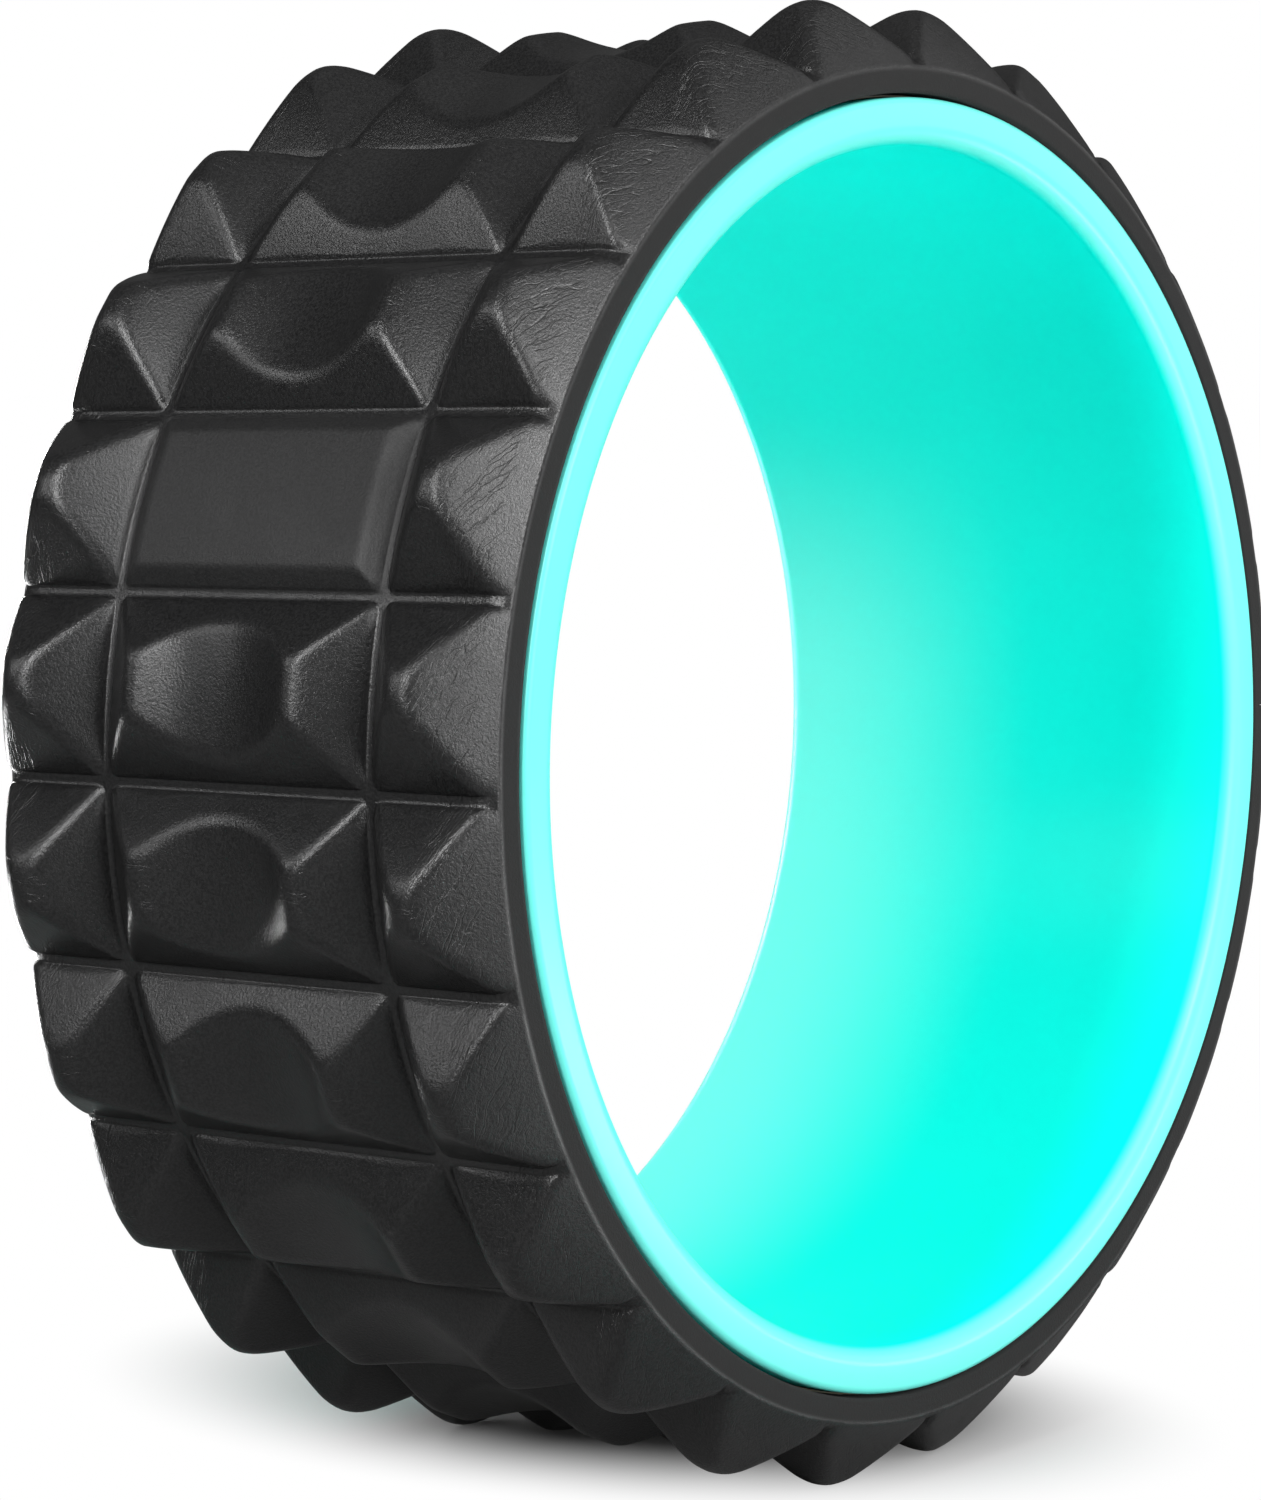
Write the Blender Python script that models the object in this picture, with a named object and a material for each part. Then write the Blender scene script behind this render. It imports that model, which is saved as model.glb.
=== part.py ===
# Back roller wheel: a rigid plastic ring with a moulded foam tread glued round it.
# The wheel's centre is the origin, its axis lies along Y, and +Z is up.
# It stands on the block rows either side of the groove at the bottom.

import math
from collections import namedtuple

import bmesh
import bpy

# Plastic ring
CORE_OUTER_RADIUS = 0.1353
CORE_WALL = 0.0098
CORE_WIDTH = 0.1275
OUTER_ROUNDING = 0.0015
BORE_ROUNDING = 0.0042
CORE_SEGMENTS = 120
ROUNDING_STEPS = 3

# Layers between the ring and the foam
FIT_GAP = 0.0003
BOND_THICKNESS = 0.0003
BOND_INSET = 0.0030

# Foam strip, set back from the ring's two rims; its near wall flares out towards the ring
TREAD_BASE = 0.0078
NEAR_SETBACK = 0.0008
FAR_SETBACK = 0.0001
NEAR_FLARE = 0.0018
EDGE_DROP = 0.0022
EDGE_RUN = 0.0045
GROOVE_WIDTH = 0.0017
BUTT_GAP = 0.0003
ROWS = 24
BUTT_FROM_BOTTOM = 6

# Blocks of the two side columns, whose width is counted from the middle of the groove beside them
SIDE_WIDTH = 0.0281
SIDE_HEIGHT = 0.0120
SIDE_TOP_WIDTH = 0.0046
SIDE_TOP_LENGTH = 0.0074
SIDE_INNER_RUN = 0.0122

# Blocks of the middle column, each cut by a channel for the spine
MIDDLE_HEIGHT = 0.0096
MIDDLE_RUN = 0.0120
RIDGE_WIDTH = 0.0026
RIDGE_LENGTH = 0.0117
CHANNEL_FLOOR = 0.0040
CHANNEL_STEPS = 3

# The one low, flat-topped block of the middle column
PAD_FROM_BOTTOM = 16
PAD_HEIGHT = 0.0029
PAD_RUN = 0.0044
PAD_END_RUN = 0.0041

# Rounding of the block tops: the share of the height lost at a top's edge, and how far in it starts
DROP_SHARE = 0.08
TOP_INSET = 0.0009
CROWN_RUN = 0.0020

# Two heights no further apart than this are the same height
SAME_HEIGHT = 1e-7

# Angles, in degrees, above which an edge is shaded sharp
PLASTIC_SHARP = 50.0
FOAM_SHARP = 35.0

# Radii and half widths that follow from the sizes above
BORE_RADIUS = CORE_OUTER_RADIUS - CORE_WALL
BOND_INNER_RADIUS = CORE_OUTER_RADIUS + FIT_GAP
BOND_OUTER_RADIUS = BOND_INNER_RADIUS + BOND_THICKNESS
TREAD_INNER_RADIUS = BOND_OUTER_RADIUS + FIT_GAP
GROOVE_RADIUS = TREAD_INNER_RADIUS + TREAD_BASE
HALF_GROOVE = GROOVE_WIDTH / 2
HALF_BUTT = BUTT_GAP / 2
TREAD_WIDTH = CORE_WIDTH - NEAR_SETBACK - NEAR_FLARE - FAR_SETBACK
TREAD_SHIFT = (NEAR_SETBACK + NEAR_FLARE - FAR_SETBACK) / 2
MIDDLE_WIDTH = TREAD_WIDTH - 2 * SIDE_WIDTH
ROW_PITCH = 2 * math.pi * GROOVE_RADIUS / ROWS
BLOCK_HALF_LENGTH = ROW_PITCH / 2 - HALF_GROOVE
MIDDLE_EDGE = MIDDLE_WIDTH / 2 - HALF_GROOVE
SIDE_INNER_EDGE = MIDDLE_WIDTH / 2 + HALF_GROOVE
SIDE_OUTER_EDGE = TREAD_WIDTH / 2
PAD_LENGTH = 2 * (BLOCK_HALF_LENGTH - PAD_END_RUN)

# One crossing of a row: where it is, how high the block stands there, the height and
# length of the block's top, and the level of the grooves at its ends
Station = namedtuple("Station", "y height full top_length floor")


def make_material(name, colour, roughness):
    material = bpy.data.materials.new(name)
    material.use_nodes = True
    shader = material.node_tree.nodes["Principled BSDF"]
    shader.inputs["Base Color"].default_value = (*colour, 1.0)
    shader.inputs["Roughness"].default_value = roughness
    shader.inputs["Metallic"].default_value = 0.0
    return material


def make_object(name, bm, material, sharp_degrees):
    bmesh.ops.recalc_face_normals(bm, faces=bm.faces[:])
    mesh = bpy.data.meshes.new(name)
    bm.to_mesh(mesh)
    bm.free()
    mesh.shade_smooth()
    mesh.set_sharp_from_angle(angle=math.radians(sharp_degrees))
    mesh.materials.append(material)
    part = bpy.data.objects.new(name, mesh)
    bpy.context.collection.objects.link(part)
    return part


def ring_section():
    """Points (radius, y) round the ring's section, with its corners rounded."""
    rim = CORE_WIDTH / 2
    corners = (
        (CORE_OUTER_RADIUS, rim, OUTER_ROUNDING, 1, 1, 0.0),
        (BORE_RADIUS, rim, BORE_ROUNDING, -1, 1, 90.0),
        (BORE_RADIUS, -rim, BORE_ROUNDING, -1, -1, 180.0),
        (CORE_OUTER_RADIUS, -rim, OUTER_ROUNDING, 1, -1, 270.0),
    )
    points = []
    for radius, y, rounding, out, side, start in corners:
        for step in range(ROUNDING_STEPS + 1):
            angle = math.radians(start + 90.0 * step / ROUNDING_STEPS)
            across = rounding * (math.cos(angle) - out)
            along = rounding * (math.sin(angle) - side)
            points.append((radius + across, y + along))
    return points


def spin_section(points, segments):
    """A closed section (radius, y) turned round the Y axis."""
    bm = bmesh.new()
    verts = [bm.verts.new((radius, y, 0.0)) for radius, y in points]
    for index, vert in enumerate(verts):
        bm.edges.new((verts[index - 1], vert))
    bmesh.ops.spin(
        bm,
        geom=bm.verts[:] + bm.edges[:],
        cent=(0.0, 0.0, 0.0),
        axis=(0.0, 1.0, 0.0),
        angle=2 * math.pi,
        steps=segments,
        use_merge=True,
    )
    return bm


def make_core_ring(material):
    return make_object("core_ring", spin_section(ring_section(), CORE_SEGMENTS), material, PLASTIC_SHARP)


def make_bond_film(material):
    half = SIDE_OUTER_EDGE - BOND_INSET
    section = [
        (BOND_OUTER_RADIUS, TREAD_SHIFT - half),
        (BOND_OUTER_RADIUS, TREAD_SHIFT + half),
        (BOND_INNER_RADIUS, TREAD_SHIFT + half),
        (BOND_INNER_RADIUS, TREAD_SHIFT - half),
    ]
    return make_object("bond_film", spin_section(section, CORE_SEGMENTS), material, PLASTIC_SHARP)


def rounded_corner(corner, base, full):
    """Two stations that round a top's edge: one on the flank below it, one on the top."""
    inward = math.copysign(TOP_INSET, corner - base)
    flank = (corner + (base - corner) * DROP_SHARE, full * (1 - DROP_SHARE))
    return flank, (corner + inward, full)


def channel_stations(lip):
    """Half of the spine channel, a circular arc from its floor up to its lip."""
    depth = MIDDLE_HEIGHT - CHANNEL_FLOOR
    radius = (lip * lip + depth * depth) / (2 * depth)
    stations = []
    for step in range(CHANNEL_STEPS + 1):
        y = lip * step / CHANNEL_STEPS
        stations.append((y, CHANNEL_FLOOR + radius - math.sqrt(radius * radius - y * y)))
    return stations


def middle_stations():
    """Stations (y, height) of half a middle block, from its centre to its groove."""
    ridge = MIDDLE_EDGE - MIDDLE_RUN
    shoulder, top = rounded_corner(ridge, MIDDLE_EDGE, MIDDLE_HEIGHT)
    pad_crest = (MIDDLE_EDGE - PAD_RUN, MIDDLE_HEIGHT * PAD_RUN / MIDDLE_RUN)
    return channel_stations(ridge - RIDGE_WIDTH) + [top, shoulder, pad_crest, (MIDDLE_EDGE, 0.0)]


def pad_stations():
    """The low pad, with the same stations as a middle block."""
    stations = []
    for y, height in middle_stations():
        stations.append((y, PAD_HEIGHT * min(1.0, (MIDDLE_EDGE - y) / PAD_RUN)))
    return stations


def side_stations():
    """Stations (y, height) of a side block, from its groove to the strip's lowered edge."""
    inner_corner = SIDE_INNER_EDGE + SIDE_INNER_RUN
    outer_corner = inner_corner + SIDE_TOP_WIDTH
    slope = (SIDE_HEIGHT + EDGE_DROP) / (SIDE_OUTER_EDGE - outer_corner)
    foot = SIDE_OUTER_EDGE - EDGE_DROP / slope
    inner_shoulder, inner_top = rounded_corner(inner_corner, SIDE_INNER_EDGE, SIDE_HEIGHT)
    outer_shoulder, outer_top = rounded_corner(outer_corner, foot, SIDE_HEIGHT)
    return [
        (SIDE_INNER_EDGE, 0.0),
        inner_shoulder,
        inner_top,
        outer_top,
        outer_shoulder,
        (SIDE_OUTER_EDGE - EDGE_RUN, EDGE_RUN * slope - EDGE_DROP),
        (SIDE_OUTER_EDGE, -EDGE_DROP),
    ]


def floor_height(y):
    """Height of the groove floor, which falls away at the strip's edges."""
    past = abs(y) - (SIDE_OUTER_EDGE - EDGE_RUN)
    return -EDGE_DROP * max(0.0, past) / EDGE_RUN


def row_stations(row):
    """Every station across one row of blocks."""
    if row == (PAD_FROM_BOTTOM - BUTT_FROM_BOTTOM) % ROWS:
        middle = [(y, height, PAD_HEIGHT, PAD_LENGTH) for y, height in pad_stations()]
    else:
        middle = [(y, height, MIDDLE_HEIGHT, RIDGE_LENGTH) for y, height in middle_stations()]
    half = middle + [(y, height, SIDE_HEIGHT, SIDE_TOP_LENGTH) for y, height in side_stations()]
    mirrored = [(-station[0], *station[1:]) for station in reversed(half[1:])]
    return [Station(*station, floor_height(station[0])) for station in mirrored + half]


def wrap(length, y, height, row):
    """A point of the flat strip, carried onto the wheel."""
    turn = length / GROOVE_RADIUS + 2 * math.pi * (row + 0.5 + BUTT_FROM_BOTTOM) / ROWS
    radius = GROOVE_RADIUS + height
    return (radius * math.sin(turn), y + TREAD_SHIFT, -radius * math.cos(turn))


def at_floor(station):
    return station.height - station.floor <= SAME_HEIGHT


def station_points(station, row):
    """Points across the top of one row at one station, from groove to groove."""
    if at_floor(station):
        edge = station.floor
        reach = BLOCK_HALF_LENGTH
        inner = reach / 3
    else:
        edge = station.height * (1 - DROP_SHARE)
        end_run = BLOCK_HALF_LENGTH - station.top_length / 2
        reach = BLOCK_HALF_LENGTH - end_run * edge / station.full
        inner = reach - CROWN_RUN
    lengths = ((-reach, edge), (-inner, station.height), (inner, station.height), (reach, edge))
    return [wrap(length, station.y, height, row) for length, height in lengths]


def add_face(bm, verts):
    corners = []
    for vert in verts:
        if vert not in corners:
            corners.append(vert)
    if len(corners) > 2:
        bm.faces.new(corners)


def make_row(bm, row):
    """Blocks of one row; returns the two lines of points along its grooves."""
    first_line = []
    last_line = []
    crossings = []
    for station in row_stations(row):
        tops = [bm.verts.new(point) for point in station_points(station, row)]
        if at_floor(station):
            first = tops[0]
            last = tops[-1]
        else:
            first = bm.verts.new(wrap(-BLOCK_HALF_LENGTH, station.y, station.floor, row))
            last = bm.verts.new(wrap(BLOCK_HALF_LENGTH, station.y, station.floor, row))
        first_line.append(first)
        last_line.append(last)
        crossings.append([first] + tops + [last])
    for here, beyond in zip(crossings, crossings[1:]):
        for index in range(len(here) - 1):
            add_face(bm, (here[index], here[index + 1], beyond[index + 1], beyond[index]))
    return first_line, last_line, crossings[0], crossings[-1]


def join_lines(bm, line, following):
    for index in range(len(line) - 1):
        add_face(bm, (line[index], following[index], following[index + 1], line[index + 1]))


def inner_pair(bm, point):
    """Points of the strip's inner face under a point of its outer edge."""
    scale = TREAD_INNER_RADIUS / math.hypot(point.x, point.z)
    near_y = TREAD_SHIFT - SIDE_OUTER_EDGE - NEAR_FLARE
    far_y = TREAD_SHIFT + SIDE_OUTER_EDGE
    near = bm.verts.new((point.x * scale, near_y, point.z * scale))
    far = bm.verts.new((point.x * scale, far_y, point.z * scale))
    return near, far


def end_line(bm, row, length):
    """Points along one butted end of the strip."""
    stations = row_stations(row)
    return [bm.verts.new(wrap(length, station.y, station.floor, row)) for station in stations]


def make_tread(material):
    """The strip, butted in one groove, with every row of blocks."""
    bm = bmesh.new()
    start = end_line(bm, 0, HALF_BUTT - ROW_PITCH / 2)
    previous = start
    near_edge = [start[0]]
    far_edge = [start[-1]]
    for row in range(ROWS):
        first_line, last_line, near, far = make_row(bm, row)
        join_lines(bm, previous, first_line)
        near_edge += near[1:-1]
        far_edge += far[1:-1]
        previous = last_line
    finish = end_line(bm, ROWS - 1, ROW_PITCH / 2 - HALF_BUTT)
    join_lines(bm, previous, finish)
    near_edge.append(finish[0])
    far_edge.append(finish[-1])

    pairs = [inner_pair(bm, vert.co) for vert in near_edge]
    for index in range(len(pairs) - 1):
        near, far = pairs[index]
        next_near, next_far = pairs[index + 1]
        add_face(bm, (near, far, next_far, next_near))
        add_face(bm, (near_edge[index], near_edge[index + 1], next_near, near))
        add_face(bm, (far_edge[index + 1], far_edge[index], far, next_far))
    for line, (near, far) in ((start, pairs[0]), (finish, pairs[-1])):
        for index in range(len(line) - 1):
            add_face(bm, (near, line[index], line[index + 1]))
        add_face(bm, (near, line[-1], far))
    return make_object("foam_tread", bm, material, FOAM_SHARP)


def main():
    for old in list(bpy.data.objects):
        bpy.data.objects.remove(old, do_unlink=True)
    mint = make_material("mint_plastic", (0.03, 0.86, 0.74), 0.35)
    glue = make_material("clear_glue", (0.55, 0.52, 0.42), 0.30)
    foam = make_material("black_foam", (0.035, 0.035, 0.036), 0.75)
    make_core_ring(mint)
    make_bond_film(glue)
    make_tread(foam)


main()
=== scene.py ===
# Back roller wheel: a mint plastic ring with glossy rims, under a black foam tread.
# Everything is in metres, with the wheel's axis along Y and +Z up.

import math

import bpy
import numpy as np
from mathutils import Euler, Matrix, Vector


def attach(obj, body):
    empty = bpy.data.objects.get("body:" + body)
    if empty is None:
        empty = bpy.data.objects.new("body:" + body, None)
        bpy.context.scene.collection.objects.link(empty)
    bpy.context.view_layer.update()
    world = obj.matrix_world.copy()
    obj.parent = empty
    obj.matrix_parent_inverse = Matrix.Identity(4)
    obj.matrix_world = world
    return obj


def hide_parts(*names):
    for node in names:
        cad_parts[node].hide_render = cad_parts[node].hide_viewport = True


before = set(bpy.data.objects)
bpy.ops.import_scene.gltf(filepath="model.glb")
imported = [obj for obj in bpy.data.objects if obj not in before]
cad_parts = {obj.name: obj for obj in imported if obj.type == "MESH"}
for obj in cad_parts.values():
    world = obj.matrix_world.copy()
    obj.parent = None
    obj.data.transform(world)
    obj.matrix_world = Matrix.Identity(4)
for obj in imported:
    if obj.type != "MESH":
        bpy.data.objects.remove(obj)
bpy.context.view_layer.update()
scene = bpy.context.scene
print("frame loaded:", ", ".join(sorted(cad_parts)))


# Small helpers for node trees.

def addNode(tree, kind, values=None, **settings):
    # values sets unlinked sockets by name or by number
    made = tree.nodes.new(kind)
    for name, value in settings.items():
        setattr(made, name, value)
    for socket, value in (values or {}).items():
        made.inputs[socket].default_value = value
    return made


def wire(tree, source, target, socket=0, output=0):
    tree.links.new(source.outputs[output], target.inputs[socket])
    return target


def mathNode(tree, operation, first, second=None, third=None):
    # each argument is a number or an output socket
    made = tree.nodes.new("ShaderNodeMath")
    made.operation = operation
    for index, value in enumerate((first, second, third)):
        if value is None:
            continue
        if isinstance(value, (int, float)):
            made.inputs[index].default_value = value
        else:
            tree.links.new(value, made.inputs[index])
    return made.outputs[0]


def rangeNode(tree, value, fromLow, fromHigh, toLow=0.0, toHigh=1.0):
    # a smooth step from toLow to toHigh
    made = tree.nodes.new("ShaderNodeMapRange")
    made.interpolation_type = "SMOOTHSTEP"
    tree.links.new(value, made.inputs["Value"])
    made.inputs["From Min"].default_value = fromLow
    made.inputs["From Max"].default_value = fromHigh
    made.inputs["To Min"].default_value = toLow
    made.inputs["To Max"].default_value = toHigh
    return made.outputs["Result"]


def newGeometryTree(name, sockets):
    # sockets: (name, type, default) for each input; the geometry goes in and out first
    tree = bpy.data.node_groups.new(name, "GeometryNodeTree")
    tree.interface.new_socket("Geometry", in_out="INPUT", socket_type="NodeSocketGeometry")
    tree.interface.new_socket("Geometry", in_out="OUTPUT", socket_type="NodeSocketGeometry")
    for label, kind, value in sockets:
        made = tree.interface.new_socket(label, in_out="INPUT", socket_type=kind)
        if value is not None:
            made.default_value = value
    return tree, tree.nodes.new("NodeGroupInput"), tree.nodes.new("NodeGroupOutput")


def runTree(name, tree, values):
    # runs a geometry tree on an empty mesh and keeps the result as a plain mesh
    holder = bpy.data.objects.new(name + "Maker", bpy.data.meshes.new(name + "Start"))
    scene.collection.objects.link(holder)
    modifier = holder.modifiers.new("nodes", "NODES")
    modifier.node_group = tree
    for item in tree.interface.items_tree:
        if item.item_type == "SOCKET" and item.in_out == "INPUT" and item.name in values:
            modifier[item.identifier] = values[item.name]
    bpy.context.view_layer.update()
    graph = bpy.context.evaluated_depsgraph_get()
    mesh = bpy.data.meshes.new_from_object(holder.evaluated_get(graph))
    mesh.name = name
    holder.modifiers.remove(modifier)
    bpy.data.objects.remove(holder, do_unlink=True)
    made = bpy.data.objects.new(name, mesh)
    scene.collection.objects.link(made)
    return made


# Effects that several materials share.

sharedLooks = {
    "grainMask": (0.35, 0.65),
    "mottleMask": (0.3, 0.7),
    "creaseSwayPerMetre": 170.0,
    "creaseSway": (0.5, 2.2, 0.5),
    "creasePatchScale": 0.55,
    "creasePatchFade": 0.12,
}


def makeGrainGroup():
    # fine even grain of a moulded skin: a height for bump and a mask for colour
    tree = bpy.data.node_groups.new("skinGrain", "ShaderNodeTree")
    for label, kind, value in (
        ("Vector", "NodeSocketVector", None),
        ("Grains Per Metre", "NodeSocketFloat", 1500.0),
        ("Roughness", "NodeSocketFloat", 0.6),
    ):
        made = tree.interface.new_socket(label, in_out="INPUT", socket_type=kind)
        if value is not None:
            made.default_value = value
    for label in ("Height", "Mask"):
        tree.interface.new_socket(label, in_out="OUTPUT", socket_type="NodeSocketFloat")
    source = tree.nodes.new("NodeGroupInput")
    result = tree.nodes.new("NodeGroupOutput")
    noise = addNode(tree, "ShaderNodeTexNoise", {"Detail": 2.0, "Distortion": 0.2})
    tree.links.new(source.outputs["Vector"], noise.inputs["Vector"])
    tree.links.new(source.outputs["Grains Per Metre"], noise.inputs["Scale"])
    tree.links.new(source.outputs["Roughness"], noise.inputs["Roughness"])
    tree.links.new(noise.outputs["Fac"], result.inputs["Height"])
    tree.links.new(rangeNode(tree, noise.outputs["Fac"], *sharedLooks["grainMask"]), result.inputs["Mask"])
    return tree


def makeMottleGroup():
    # slow cloudy change over a few centimetres
    tree = bpy.data.node_groups.new("slowMottle", "ShaderNodeTree")
    tree.interface.new_socket("Vector", in_out="INPUT", socket_type="NodeSocketVector")
    size = tree.interface.new_socket("Patches Per Metre", in_out="INPUT", socket_type="NodeSocketFloat")
    size.default_value = 30.0
    tree.interface.new_socket("Mask", in_out="OUTPUT", socket_type="NodeSocketFloat")
    source = tree.nodes.new("NodeGroupInput")
    result = tree.nodes.new("NodeGroupOutput")
    noise = addNode(tree, "ShaderNodeTexNoise", {"Detail": 3.0, "Roughness": 0.5})
    tree.links.new(source.outputs["Vector"], noise.inputs["Vector"])
    tree.links.new(source.outputs["Patches Per Metre"], noise.inputs["Scale"])
    tree.links.new(rangeNode(tree, noise.outputs["Fac"], *sharedLooks["mottleMask"]), result.inputs["Mask"])
    return tree


def makeCreaseGroup():
    # a net of fine lines, drawn out one way and broken into short runs
    tree = bpy.data.node_groups.new("skinCreases", "ShaderNodeTree")
    for label, kind, value in (
        ("Vector", "NodeSocketVector", None),
        ("Turn", "NodeSocketFloat", 0.0),
        ("Lines Per Metre", "NodeSocketFloat", 600.0),
        ("Runs Per Metre", "NodeSocketFloat", 90.0),
        ("Width", "NodeSocketFloat", 0.09),
        ("Least", "NodeSocketFloat", 0.5),
    ):
        made = tree.interface.new_socket(label, in_out="INPUT", socket_type=kind)
        if value is not None:
            made.default_value = value
    tree.interface.new_socket("Mask", in_out="OUTPUT", socket_type="NodeSocketFloat")
    source = tree.nodes.new("NodeGroupInput")
    result = tree.nodes.new("NodeGroupOutput")
    given = source.outputs
    turned = addNode(tree, "ShaderNodeVectorRotate", rotation_type="Z_AXIS")
    tree.links.new(given["Vector"], turned.inputs["Vector"])
    tree.links.new(given["Turn"], turned.inputs["Angle"])
    scale = addNode(tree, "ShaderNodeCombineXYZ")
    tree.links.new(given["Runs Per Metre"], scale.inputs["X"])
    tree.links.new(given["Lines Per Metre"], scale.inputs["Y"])
    tree.links.new(given["Runs Per Metre"], scale.inputs["Z"])
    drawn = addNode(tree, "ShaderNodeVectorMath", operation="MULTIPLY")
    wire(tree, turned, drawn, 0)
    wire(tree, scale, drawn, 1)
    swayScale = sharedLooks["creaseSwayPerMetre"]
    sway = addNode(tree, "ShaderNodeTexNoise", {"Scale": swayScale, "Detail": 2.0, "Roughness": 0.6})
    tree.links.new(given["Vector"], sway.inputs["Vector"])
    bend = addNode(tree, "ShaderNodeVectorMath", {1: sharedLooks["creaseSway"]}, operation="MULTIPLY_ADD")
    tree.links.new(sway.outputs["Color"], bend.inputs[0])
    wire(tree, drawn, bend, 2)
    cells = addNode(tree, "ShaderNodeTexVoronoi", {"Scale": 1.0}, feature="DISTANCE_TO_EDGE")
    wire(tree, bend, cells, "Vector")
    near = addNode(tree, "ShaderNodeMapRange", {"From Min": 0.0, "To Min": 1.0, "To Max": 0.0},
                   interpolation_type="SMOOTHSTEP")
    tree.links.new(cells.outputs["Distance"], near.inputs["Value"])
    tree.links.new(given["Width"], near.inputs["From Max"])
    patchScale = sharedLooks["creasePatchScale"]
    patches = addNode(tree, "ShaderNodeTexNoise", {"Scale": patchScale, "Detail": 2.0, "Roughness": 0.6})
    wire(tree, bend, patches, "Vector")
    some = addNode(tree, "ShaderNodeMapRange", interpolation_type="SMOOTHSTEP")
    tree.links.new(patches.outputs["Fac"], some.inputs["Value"])
    tree.links.new(given["Least"], some.inputs["From Min"])
    full = mathNode(tree, "ADD", given["Least"], sharedLooks["creasePatchFade"])
    tree.links.new(full, some.inputs["From Max"])
    tree.links.new(mathNode(tree, "MULTIPLY", near.outputs[0], some.outputs[0]), result.inputs["Mask"])
    return tree


grainGroup = makeGrainGroup()
mottleGroup = makeMottleGroup()
creaseGroup = makeCreaseGroup()


def useGroup(tree, group, vector, values):
    made = tree.nodes.new("ShaderNodeGroup")
    made.node_tree = group
    tree.links.new(vector, made.inputs["Vector"])
    for name, value in values.items():
        made.inputs[name].default_value = value
    return made


def newMaterial(name):
    made = bpy.data.materials.new(name)
    made.use_nodes = True
    shader = made.node_tree.nodes["Principled BSDF"]
    shader.inputs["Metallic"].default_value = 0.0
    return made, made.node_tree, shader


def bumpInto(tree, shader, height, distance, strength=1.0):
    bump = addNode(tree, "ShaderNodeBump", {"Distance": distance, "Strength": strength})
    tree.links.new(height, bump.inputs["Height"])
    tree.links.new(bump.outputs["Normal"], shader.inputs["Normal"])


def mixColours(tree, factor, first, second):
    # first and second are colours or sockets
    made = addNode(tree, "ShaderNodeMix", data_type="RGBA")
    tree.links.new(factor, made.inputs[0])
    for socket, value in ((6, first), (7, second)):
        if isinstance(value, tuple):
            made.inputs[socket].default_value = (*value, 1.0)
        else:
            tree.links.new(value, made.inputs[socket])
    return made.outputs[2]


# The plastic ring.

ring = {
    "outerRadius": 0.1353,
    "wall": 0.0098,
    "width": 0.1275,
    "outerRounding": 0.0015,
    "boreRounding": 0.0042,
    "stepsRound": 360,
    "stepsPerRounding": 10,
}

plastic = {
    "colour": (0.0, 0.775, 0.675),
    "mottled": (0.0, 0.795, 0.695),
    # the rim faces' paler colour is a painted sheen
    "rim": (0.14, 0.79, 0.71),
    # pale and the four keys after it paint light on the lower half towards the far rim
    "pale": (0.20, 0.90, 0.81),
    "paintedLightShare": 0.9,
    "paintedLightBelow": 0.075,
    "paintedLightFrom": -0.012,
    "paintedLightTo": 0.060,
    "rimStart": 0.0035,
    "rimFull": 0.0010,
    "mottle": {"Patches Per Metre": 14.0},
    "grain": {"Grains Per Metre": 900.0},
    "bump": 0.0000015,
    "roughness": 0.36,
    "roughnessSpread": 0.03,
    "specular": 0.10,
    "rimCoat": 0.6,
    "coatRoughness": 0.3,
}


def makePlastic():
    made, tree, shader = newMaterial("mintPlastic")
    place = addNode(tree, "ShaderNodeTexCoord").outputs["Object"]
    mottle = useGroup(tree, mottleGroup, place, plastic["mottle"]).outputs["Mask"]
    grain = useGroup(tree, grainGroup, place, plastic["grain"]).outputs
    smoothest = plastic["roughness"] - plastic["roughnessSpread"]
    roughest = plastic["roughness"] + plastic["roughnessSpread"]
    tree.links.new(rangeNode(tree, mottle, 0.0, 1.0, smoothest, roughest), shader.inputs["Roughness"])
    # the rims carry a polished coat and the bore is duller; the rims' paler colour is a painted sheen
    apart = addNode(tree, "ShaderNodeSeparateXYZ")
    tree.links.new(place, apart.inputs[0])
    side = mathNode(tree, "ABSOLUTE", apart.outputs["Y"])
    edge = ring["width"] / 2
    rim = rangeNode(tree, side, edge - plastic["rimStart"], edge - plastic["rimFull"])
    # towards the far rim the lower half is a little paler: painted light
    low = rangeNode(tree, apart.outputs["Z"], 0.0, plastic["paintedLightBelow"], plastic["paintedLightShare"], 0.0)
    deep = rangeNode(tree, apart.outputs["Y"], plastic["paintedLightFrom"], plastic["paintedLightTo"])
    pale = mathNode(tree, "MULTIPLY", low, deep)
    colour = mixColours(tree, mottle, plastic["colour"], plastic["mottled"])
    colour = mixColours(tree, pale, colour, plastic["pale"])
    tree.links.new(mixColours(tree, rim, colour, plastic["rim"]), shader.inputs["Base Color"])
    shader.inputs["Specular IOR Level"].default_value = plastic["specular"]
    tree.links.new(mathNode(tree, "MULTIPLY", rim, plastic["rimCoat"]), shader.inputs["Coat Weight"])
    shader.inputs["Coat Roughness"].default_value = plastic["coatRoughness"]
    bumpInto(tree, shader, grain["Height"], plastic["bump"])
    return made


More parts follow.
